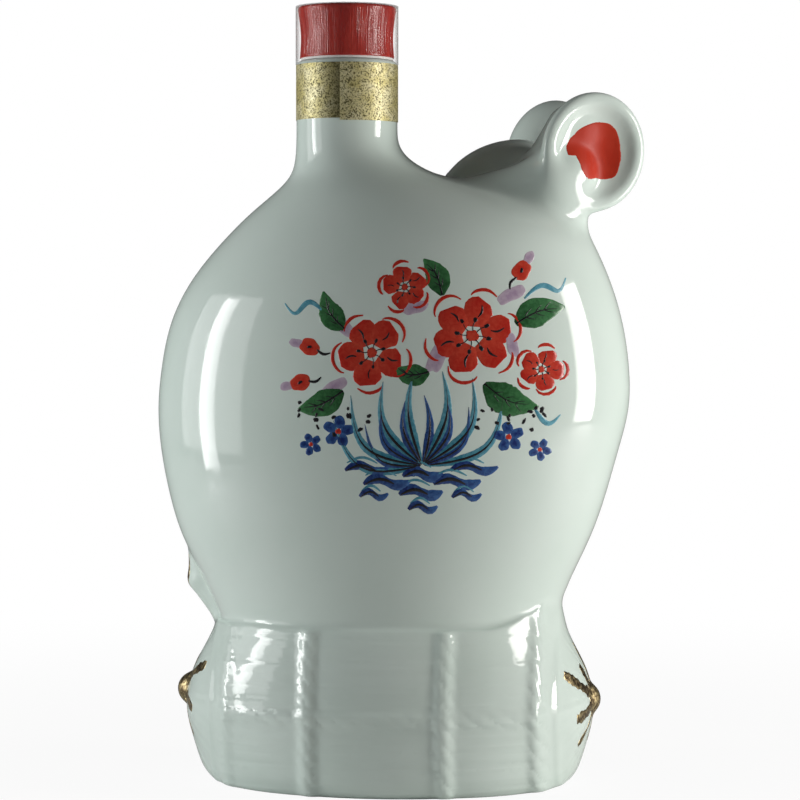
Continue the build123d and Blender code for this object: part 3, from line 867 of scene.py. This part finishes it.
# The red patch in an ear: where its middle lies, and its reach at angles, as shares
EAR_PATCH_PLACE = (0.3, 0.3)
EAR_PATCH_REACH = (8.4, 8.0)
EAR_PATCH = (
    (6, 1.00), (40, 1.10), (60, 1.16), (76, 1.10), (100, 0.98), (142, 0.90), (174, 1.10), (189, 1.10),
    (194, 0.80), (217, 0.80), (242, 1.02), (251, 1.08), (273, 0.97), (309, 1.17), (334, 1.06),
)


def paint_ears():
    """The red hollow of each ear."""
    for place, _, side in EARS:
        facing = ear_facing(side)
        origin = np.array(place) + facing @ np.array((0, side * 30.0, 0))
        canvas = Canvas(origin, facing @ np.array((-side, 0.0, 0.0)), facing @ np.array((0, 0, 1.0)))
        angle = -side * EAR_ROLL
        EAR_RED.blob(canvas, EAR_PATCH_PLACE, EAR_PATCH_REACH, angle, 0.012, 4, (0.0, 0.5), EAR_PATCH)


# The gold straws at an end of the bale: angle, reach and width, then the same on the other side
STRAWS = (
    (90, 16.0, 2.2), (58, 12.0, 3.0), (27, 19.0, 3.0),
    (-16, 15.0, 3.0), (-48, 16.0, 1.8), (-90, 12.0, 2.4),
)
STRAWS += tuple((180 - angle, reach, wide) for angle, reach, wide in STRAWS[1:-1])


def gild_ends():
    """Gold straws that spread from the knot at each end of the bale, and the knot itself."""
    for side, (place, height) in zip((-1, 1), KNOTS):
        canvas = Canvas((side * 90.0, 0, height), (0, side, 0), (0, 0, 1))
        for i, (angle, reach, wide) in enumerate(STRAWS):
            path = rays((0, 0), angle, 1.0, (0, 3.6), (3, reach * 0.6), (0, reach))
            widths = [share * wide for share in (1, 1.05, 0.8, 1.1, 0.7)]
            GOLD.stroke(canvas, path, widths, (0.2, 1), 0.2, i + 20)
        GOLD.blob(canvas, (0, 0), (5.4, 5.4), 0, 0.04, 3, (0.0, 0.2))


def gild_foot():
    """A gold line along the sole of the foot that shows at the side."""
    canvas = Canvas((-100.0, 1.8, 57.5), (0, -1, 0), (0, 0, 1))
    GOLD.stroke(canvas, [(-0.4, -4.8), (0.0, 0.5), (0.5, 5.5)], (1.0, 3.2, 2.6, 1.6), (0.6, 1), 0.1)


def on_head(ahead, upward, aside):
    """A canvas just off the skull, in a direction made of the snout's own three axes."""
    towards = SNOUT_FACING @ np.array((-ahead, aside, upward))
    towards /= np.linalg.norm(towards)
    reach = 1 / np.sqrt(((towards / SKULL_REACH) ** 2).sum())
    return facing_canvas(SKULL_PLACE, towards, reach + 3.0)


def paint_face():
    """Eyes, whiskers on one cheek, and the nose; the other cheek rests in the shoulder."""
    for aside, upward in ((-0.20, 0.66), (0.50, 0.55)):
        canvas = on_head(0.70, upward, aside)
        BLACK.blob(canvas, (0, 0), (2.0, 2.6), 0, 0.02, 1)
        BLACK.stroke(canvas, [(-3.0, 3.0), (0.0, 4.3), (3.0, 3.0)], (0.2, 0.5, 0.2))
    ahead, aside, upward = SNOUT_FACING.T * np.array(((-1.0,), (1.0,), (1.0,)))
    muzzle = HEAD_PLACE + (SNOUT_AHEAD + 5.0) * ahead
    cheek = facing_canvas(muzzle, aside + 0.2 * upward, SNOUT_REACH[1] + 4.0)
    for angle in (-16, 0, 16):
        start = ray((0, 1.0), 180 + angle, 5.0)
        path = [start, ray(start, 180 + angle, -4.0), ray(start, 180 + 1.4 * angle, -9.0)]
        BLACK.stroke(cheek, path, (0.4, 0.3, 0.1))
    nose = HEAD_PLACE + (SNOUT_AHEAD + SNOUT_REACH[0]) * ahead + NOSE_RADIUS / 2 * upward
    tip = facing_canvas(nose, ahead + 0.3 * upward, NOSE_RADIUS + 3.0)
    EAR_RED.blob(tip, (0, 0), (2.7, 2.3), 0, 0.03, 2)


# Materials
SEAM_ANGLE = -1.57


def feed(tree, value, socket):
    """Sets an input to a value, or links it to another node's output."""
    if isinstance(value, bpy.types.NodeSocket):
        tree.links.new(value, socket)
    else:
        socket.default_value = value


def add_node(tree, kind, **inputs):
    """A new shader node whose named inputs are values or other nodes' outputs."""
    made = tree.nodes.new("ShaderNode" + kind)
    for name, value in inputs.items():
        feed(tree, value, made.inputs[name.replace("_", " ")])
    return made


class Look:
    """A principled material whose colour, roughness and bump come from its nodes."""

    def __init__(self, name, base, roughness, **even):
        self.material = bpy.data.materials.new(name)
        self.material.use_nodes = True
        self.tree = self.material.node_tree
        self.shader = self.tree.nodes["Principled BSDF"]
        for key, value in {"Base Color": (*base, 1), "Roughness": roughness, **even}.items():
            self.set(key.replace("_", " "), value)
        self.place = self.node("TexCoord").outputs["Object"]

    def set(self, name, value):
        feed(self.tree, value, self.shader.inputs[name])

    def node(self, kind, **inputs):
        return add_node(self.tree, kind, **inputs)

    def noise(self, scale, detail=3.0, stretch=None, distortion=0.0):
        """A noise pattern; scale is waves per metre, and stretch scales its axes."""
        where = self.place
        if stretch:
            where = self.node("Mapping", Vector=where, Scale=stretch).outputs["Vector"]
        made = self.node("TexNoise", Vector=where, Scale=scale, Detail=detail, Distortion=distortion)
        return made.outputs["Fac"]

    def ramp(self, source, low, high, start=0.0, end=1.0):
        """A value moved from one range to another."""
        made = self.node("MapRange", Value=source, From_Min=low, From_Max=high, To_Min=start, To_Max=end)
        return made.outputs["Result"]

    def mix(self, factor, first, second):
        """A colour between two; each is a colour or another node's output."""
        made = self.node("Mix")
        made.data_type = "RGBA"
        feed(self.tree, factor, made.inputs["Factor"])
        for name, value in (("A", first), ("B", second)):
            socket = [s for s in made.inputs if s.name == name and s.type == "RGBA"][0]
            feed(self.tree, (*value, 1) if isinstance(value, tuple) else value, socket)
        return [s for s in made.outputs if s.type == "RGBA"][0]

    def sum(self, operation, first, second, clamp=False):
        """The result of one math step on outputs or plain numbers."""
        made = self.node("Math")
        made.operation = operation
        made.use_clamp = clamp
        for socket, value in zip(made.inputs, (first, second)):
            feed(self.tree, value, socket)
        return made.outputs["Value"]

    def mottle(self, source, low, high, first, second):
        """Two colours in the pattern of a source."""
        self.set("Base Color", self.mix(self.ramp(source, low, high), first, second))

    def roughness(self, source, low, high):
        self.set("Roughness", self.ramp(source, 0.3, 0.7, low, high))

    def bump(self, source, strength, distance):
        made = self.node("Bump", Strength=strength, Distance=distance, Height=source)
        self.set("Normal", made.outputs["Normal"])


def porcelain_look():
    """Clear glaze over white porcelain: a faint uneven tint and a slightly uneven gloss."""
    look = Look("glaze", (0.69, 0.80, 0.745), 0.07, IOR=1.52)
    look.mottle(look.noise(45, 3), 0.3, 0.7, (0.675, 0.79, 0.73), (0.705, 0.81, 0.758))
    look.roughness(look.noise(160, 4), 0.05, 0.11)
    look.bump(look.noise(90, 2), 0.08, 0.0004)
    return look.material


def enamel_look(name, deep, light, streak=900, sheen=(0.1, 0.26), gloss=0.5):
    """Onglaze enamel: a wash that thins along the stroke, with brush streaks."""
    look = Look(name, deep, 0.16, IOR=1.5, Specular_IOR_Level=gloss)
    streaks = look.ramp(look.noise(streak, 4, None, 0.6), 0.35, 0.7, -0.22, 0.26)
    wash = look.node("Attribute")
    wash.attribute_name = "wash"
    total = look.sum("ADD", look.ramp(wash.outputs["Fac"], 0, 1, 0, 0.75), streaks, True)
    look.set("Base Color", look.mix(total, deep, light))
    look.roughness(look.noise(500, 3), *sheen)
    look.bump(look.noise(1400, 3), 0.25, 0.00005)
    return look.material


def gold_look():
    """Fired gold, worn thin in specks."""
    look = Look("gold", (0.45, 0.36, 0.18), 0.3, Metallic=1.0)
    worn = look.noise(900, 6, None, 0.4)
    look.mottle(worn, 0.42, 0.60, (0.17, 0.125, 0.07), (0.56, 0.46, 0.25))
    look.roughness(look.noise(700, 4), 0.22, 0.5)
    look.bump(look.noise(1200, 4), 0.3, 0.0001)
    return look.material


def foil_look():
    """Gold foil paper with fine dark specks, and painted shade on the part that dips under its lapped end,
    darkest at the seam, for the dark reflection there.
    """
    look = Look("foil", (0.72, 0.64, 0.36), 0.5, Metallic=0.4)
    cloud = look.mix(look.ramp(look.noise(220, 3), 0.35, 0.65), (0.60, 0.53, 0.22), (0.74, 0.69, 0.42))
    place = look.node("SeparateXYZ", Vector=look.place).outputs
    angle = look.sum("ARCTAN2", place["Y"], look.sum("ADD", place["X"], -NECK_X * MM))
    before = look.sum("LESS_THAN", angle, SEAM_ANGLE)
    # Painted shade: the foil darkens towards the seam on this side, for the dark reflection of the lapped
    # end
    seam_painted_shade = look.sum("MULTIPLY", look.ramp(angle, -2.1, SEAM_ANGLE), before)
    specks = look.ramp(look.noise(2300, 3, None, 0.8), 0.50, 0.60)
    specks_and_painted_shade = look.sum("ADD", specks, look.sum("MULTIPLY", seam_painted_shade, 0.75), True)
    look.set("Base Color", look.mix(specks_and_painted_shade, cloud, (0.09, 0.08, 0.025)))
    look.roughness(look.noise(1500, 3), 0.42, 0.62)
    look.bump(look.noise(1300, 4), 0.35, 0.00012)
    return look.material


def cap_look():
    """Deep red moulded plastic with a silky sheen."""
    look = Look("red_plastic", (0.36, 0.018, 0.012), 0.28, IOR=1.5)
    shade = look.noise(260, 4, (1, 1, 0.15))
    look.mottle(shade, 0.35, 0.65, (0.33, 0.013, 0.009), (0.48, 0.033, 0.02))
    look.roughness(look.noise(900, 4, (1, 1, 0.2)), 0.18, 0.34)
    look.bump(look.noise(2600, 3, (1, 1, 0.08)), 0.25, 0.0001)
    return look.material


def plain_look(name, first, second, low, high, scale, depth):
    """A matt moulded or foamed surface with faint mottling."""
    look = Look(name, first, low)
    look.mottle(look.noise(scale, 4), 0.35, 0.65, first, second)
    look.roughness(look.noise(scale * 2, 3), low, high)
    look.bump(look.noise(scale * 4, 3), 0.4, depth)
    return look.material


def film_look():
    """Clear shrink film: all but invisible face on, and more opaque towards its edge, where its pale colour
    is painted reflection on top of its own gloss.
    """
    look = Look("film", (0.6, 0.62, 0.6), 0.05, IOR=1.45)
    facing = look.node("LayerWeight", Blend=0.3).outputs["Facing"]
    # Painted reflection: more of the pale base colour shows where the film is seen edge on
    look.set("Alpha", look.ramp(facing, 0.40, 0.90, 0.015, 0.75))
    look.roughness(look.noise(700, 3), 0.03, 0.1)
    look.bump(look.noise(380, 3, (1, 1, 0.3)), 0.3, 0.0003)
    return look.material


# Stopper cap with the fine upright wrinkles of its skin
CAP_BASE = 201.3
CAP_HEIGHT = 14.4
CAP_RADII = (13.2, 12.9, 13.9)
CAP_WAIST = 5.5
CAP_EDGE = 0.8
CAP_DISH = 0.12
CAP_RECESS = (10.6, 4.0)
WRINKLES = 30


def cap_outline():
    """Radius and height rows from the recess, under the base, up the side and over the top."""
    bow = Curve((0, CAP_WAIST, CAP_HEIGHT), CAP_RADII)
    rows = [(0.0, CAP_RECESS[1]), (CAP_RECESS[0], CAP_RECESS[1]), (CAP_RECESS[0], 0.0)]
    rows += [(CAP_RADII[0] - 0.3, 0.0), (CAP_RADII[0] - 0.09, 0.09)]
    for height in np.linspace(0.3, CAP_HEIGHT - CAP_EDGE, 34):
        rows.append((float(bow(np.array(height))[0]), height))
    side = float(bow(np.array(CAP_HEIGHT - CAP_EDGE))[0])
    for angle in np.linspace(15, 90, 6):
        bent = math.radians(angle)
        rows.append((side - CAP_EDGE * (1 - math.cos(bent)), CAP_HEIGHT - CAP_EDGE * (1 - math.sin(bent))))
    rows += [(share * side, CAP_HEIGHT - CAP_DISH * (1 - share)) for share in (0.85, 0.6, 0.3, 0.1, 0.0)]
    return np.array(rows)


def cap_piece(look):
    """The cap as a turned mesh with uneven upright wrinkles in its side."""
    random = np.random.default_rng(5)
    rows = cap_outline()
    around = np.linspace(0, 2 * math.pi, 900, endpoint=False)
    radius = np.tile(rows[:, :1], (1, len(around)))
    height = np.tile(rows[:, 1:], (1, len(around)))
    crease = np.zeros_like(radius)
    for _ in range(WRINKLES):
        count = int(random.integers(70, 260))
        drift, phase = random.normal(0, 0.12), random.uniform(0, 2 * math.pi)
        crease += np.sin(count * around[None, :] + phase + drift * height) / WRINKLES**0.5
    patchy = 0.5 + 0.5 * np.sin(5 * around[None, :] + 0.35 * height + 1) * np.sin(3 * around[None, :] + 2)
    side = rise(height, 0.2, 1.0) * rise(height, CAP_HEIGHT - 0.4, CAP_HEIGHT - 1.6)
    side *= radius > CAP_RADII[1] - 0.5
    radius = radius + 0.045 * crease * side * (0.35 + 0.65 * patchy) - 0.04 * side
    points = np.stack([NECK_X + radius * np.cos(around), radius * np.sin(around), CAP_BASE + height], -1)
    index = np.arange(points.shape[0] * points.shape[1]).reshape(points.shape[:2])
    far = np.roll(index, -1, 1)
    faces = np.stack([index[:-1], far[:-1], far[1:], index[1:]], -1).reshape(-1, 4)
    mesh = new_mesh("stopper_cap_skin", points.reshape(-1, 3), faces)
    shape = bmesh.new()
    shape.from_mesh(mesh)
    bmesh.ops.remove_doubles(shape, verts=shape.verts, dist=1e-7)
    shape.to_mesh(mesh)
    shape.free()
    mesh.materials.append(look)
    piece = new_object("stopper_cap_skin", mesh)
    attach(piece, "stopper")
    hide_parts("stopper_cap")


WHITES = ((0.80, 0.80, 0.77), (0.86, 0.86, 0.84))
FOAMS = ((0.78, 0.78, 0.75), (0.86, 0.86, 0.84))
for node, look in {
    "stopper_plug": plain_look("white_plastic", *WHITES, 0.35, 0.5, 300, 0.00005),
    "stopper_washer": plain_look("foam", *FOAMS, 0.7, 0.9, 1500, 0.0002),
    "seal_film": film_look(),
    "neck_label": foil_look(),
}.items():
    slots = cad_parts[node].data.materials
    slots.clear()
    slots.append(look)

figure = porcelain_piece()
figure.data.materials.append(porcelain_look())
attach(figure, "vessel")
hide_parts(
    "body_back", "body_belly", "shoulder", "head", "ear_left", "ear_right",
    "forepaw_left", "forepaw_right", "hind_foot_left", "hind_foot_right", "tail",
    "bale_foot", "bale_back", "bale_belly", "bale_end_left", "bale_end_right",
    "rope_outer_left", "rope_inner_left", "rope_inner_right", "rope_outer_right", "rope_girdle",
)
cap_piece(cap_look())

paint_spray()
paint_ears()
paint_face()
gild_ends()
gild_foot()
for layer, deep, light in (
    (RED, (0.46, 0.02, 0.012), (0.62, 0.075, 0.04)),
    (GREEN, (0.016, 0.075, 0.024), (0.07, 0.24, 0.09)),
    (TEAL, (0.02, 0.16, 0.24), (0.18, 0.46, 0.56)),
    (NAVY, (0.006, 0.02, 0.13), (0.06, 0.17, 0.42)),
    (VIOLET, (0.36, 0.26, 0.38), (0.56, 0.48, 0.56)),
    (BLACK, (0.006, 0.006, 0.008), (0.03, 0.03, 0.034)),
    (EAR_RED, (0.47, 0.032, 0.014), (0.53, 0.048, 0.022)),
):
    finish = (160, (0.34, 0.46), 0.2) if layer is EAR_RED else (900, (0.1, 0.26))
    layer.piece(enamel_look(layer.name, deep, light, *finish))
gilding = GOLD.piece(gold_look())
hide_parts("end_knot_left", "end_knot_right")

# Stage, camera and light
CAMERA_AZIMUTH = 7.0
CAMERA_DISTANCE = 0.85
CAMERA_HEIGHT = 0.130
CAMERA_ASIDE = 0.0022
VIEW_WIDTH = 0.2232
SHIFT_UP = -0.1075


def add_camera():
    data = bpy.data.cameras.new("camera")
    data.sensor_width = 36.0
    data.lens = data.sensor_width * CAMERA_DISTANCE / VIEW_WIDTH
    data.shift_y = SHIFT_UP
    camera = new_object("camera", data)
    angle = math.radians(CAMERA_AZIMUTH)
    camera.location = (
        CAMERA_DISTANCE * math.sin(angle) + CAMERA_ASIDE * math.cos(angle),
        -CAMERA_DISTANCE * math.cos(angle) + CAMERA_ASIDE * math.sin(angle),
        CAMERA_HEIGHT,
    )
    camera.rotation_euler = (math.pi / 2, 0, angle)
    bpy.context.scene.camera = camera


def add_softbox(name, azimuth, distance, heights, width, power, fade, colour=(1, 1, 1)):
    """A tall soft lamp beside the figure, dimmer to one side; azimuth is from the camera's side."""
    data = bpy.data.lights.new(name, "AREA")
    data.shape = "RECTANGLE"
    data.size, data.size_y = width, heights[1] - heights[0]
    data.energy, data.color = power, colour
    data.use_nodes = True
    tree = data.node_tree
    spot = add_node(tree, "NewGeometry").outputs["Parametric"]
    across = add_node(tree, "SeparateXYZ", Vector=spot).outputs["X"]
    dim = add_node(tree, "MapRange", Value=across, To_Min=fade[0], To_Max=fade[1])
    feed(tree, dim.outputs["Result"], tree.nodes["Emission"].inputs["Strength"])
    lamp = new_object(name, data)
    angle = math.radians(CAMERA_AZIMUTH + azimuth)
    lamp.location = (distance * math.sin(angle), -distance * math.cos(angle), sum(heights) / 2)
    lamp.rotation_euler = (math.pi / 2, 0, angle)
    lamp.visible_camera = False


def add_world():
    """White behind the figure, and faint in its light and its reflections."""
    world = bpy.data.worlds.new("studio")
    bpy.context.scene.world = world
    world.use_nodes = True
    tree = world.node_tree
    back = tree.nodes["Background"].inputs
    feed(tree, (1, 1, 1, 1), back["Color"])
    seen = add_node(tree, "LightPath").outputs["Is Camera Ray"]
    reach = add_node(tree, "MapRange", Value=seen, To_Min=0.05, To_Max=1.0)
    feed(tree, reach.outputs["Result"], back["Strength"])


add_camera()
add_world()
add_softbox("softbox_left", -80.5, 0.45, (0.015, 0.33), 0.078, 0.68, (1.4, 0.6))
add_softbox("fill_left", -82, 0.60, (0.02, 0.42), 0.45, 1.15, (1.0, 1.0))
add_softbox("softbox_right", 74, 0.45, (0.01, 0.32), 0.12, 1.9, (0.45, 1.4), (1.0, 0.96, 0.93))


def floor_material():
    """Pale and matt, and near white to the camera, with the figure's shadow kept close to it."""
    look = Look("floor", (0.85, 0.85, 0.85), 0.7)
    reach = look.node("VectorMath", Vector=look.place)
    reach.operation = "LENGTH"
    fade = look.node("MapRange", Value=reach.outputs["Value"], From_Min=0.06, From_Max=0.5, To_Min=0.93)
    fade.interpolation_type = "SMOOTHSTEP"
    seen = look.node("LightPath").outputs["Is Camera Ray"]
    mix = look.node("MixShader", Fac=look.sum("MULTIPLY", seen, fade.outputs["Result"]))
    feed(look.tree, look.shader.outputs["BSDF"], mix.inputs[1])
    feed(look.tree, look.node("Emission", Color=(1, 1, 1, 1)).outputs["Emission"], mix.inputs[2])
    feed(look.tree, mix.outputs["Shader"], look.tree.nodes["Material Output"].inputs["Surface"])
    return look.material


floor_mesh = bpy.data.meshes.new("floor")
floor_mesh.from_pydata([(-3, -3, 0), (3, -3, 0), (3, 3, 0), (-3, 3, 0)], [], [(0, 1, 2, 3)])
floor = new_object("floor", floor_mesh)
floor_mesh.materials.append(floor_material())

bpy.context.scene.view_settings.view_transform = "Standard"
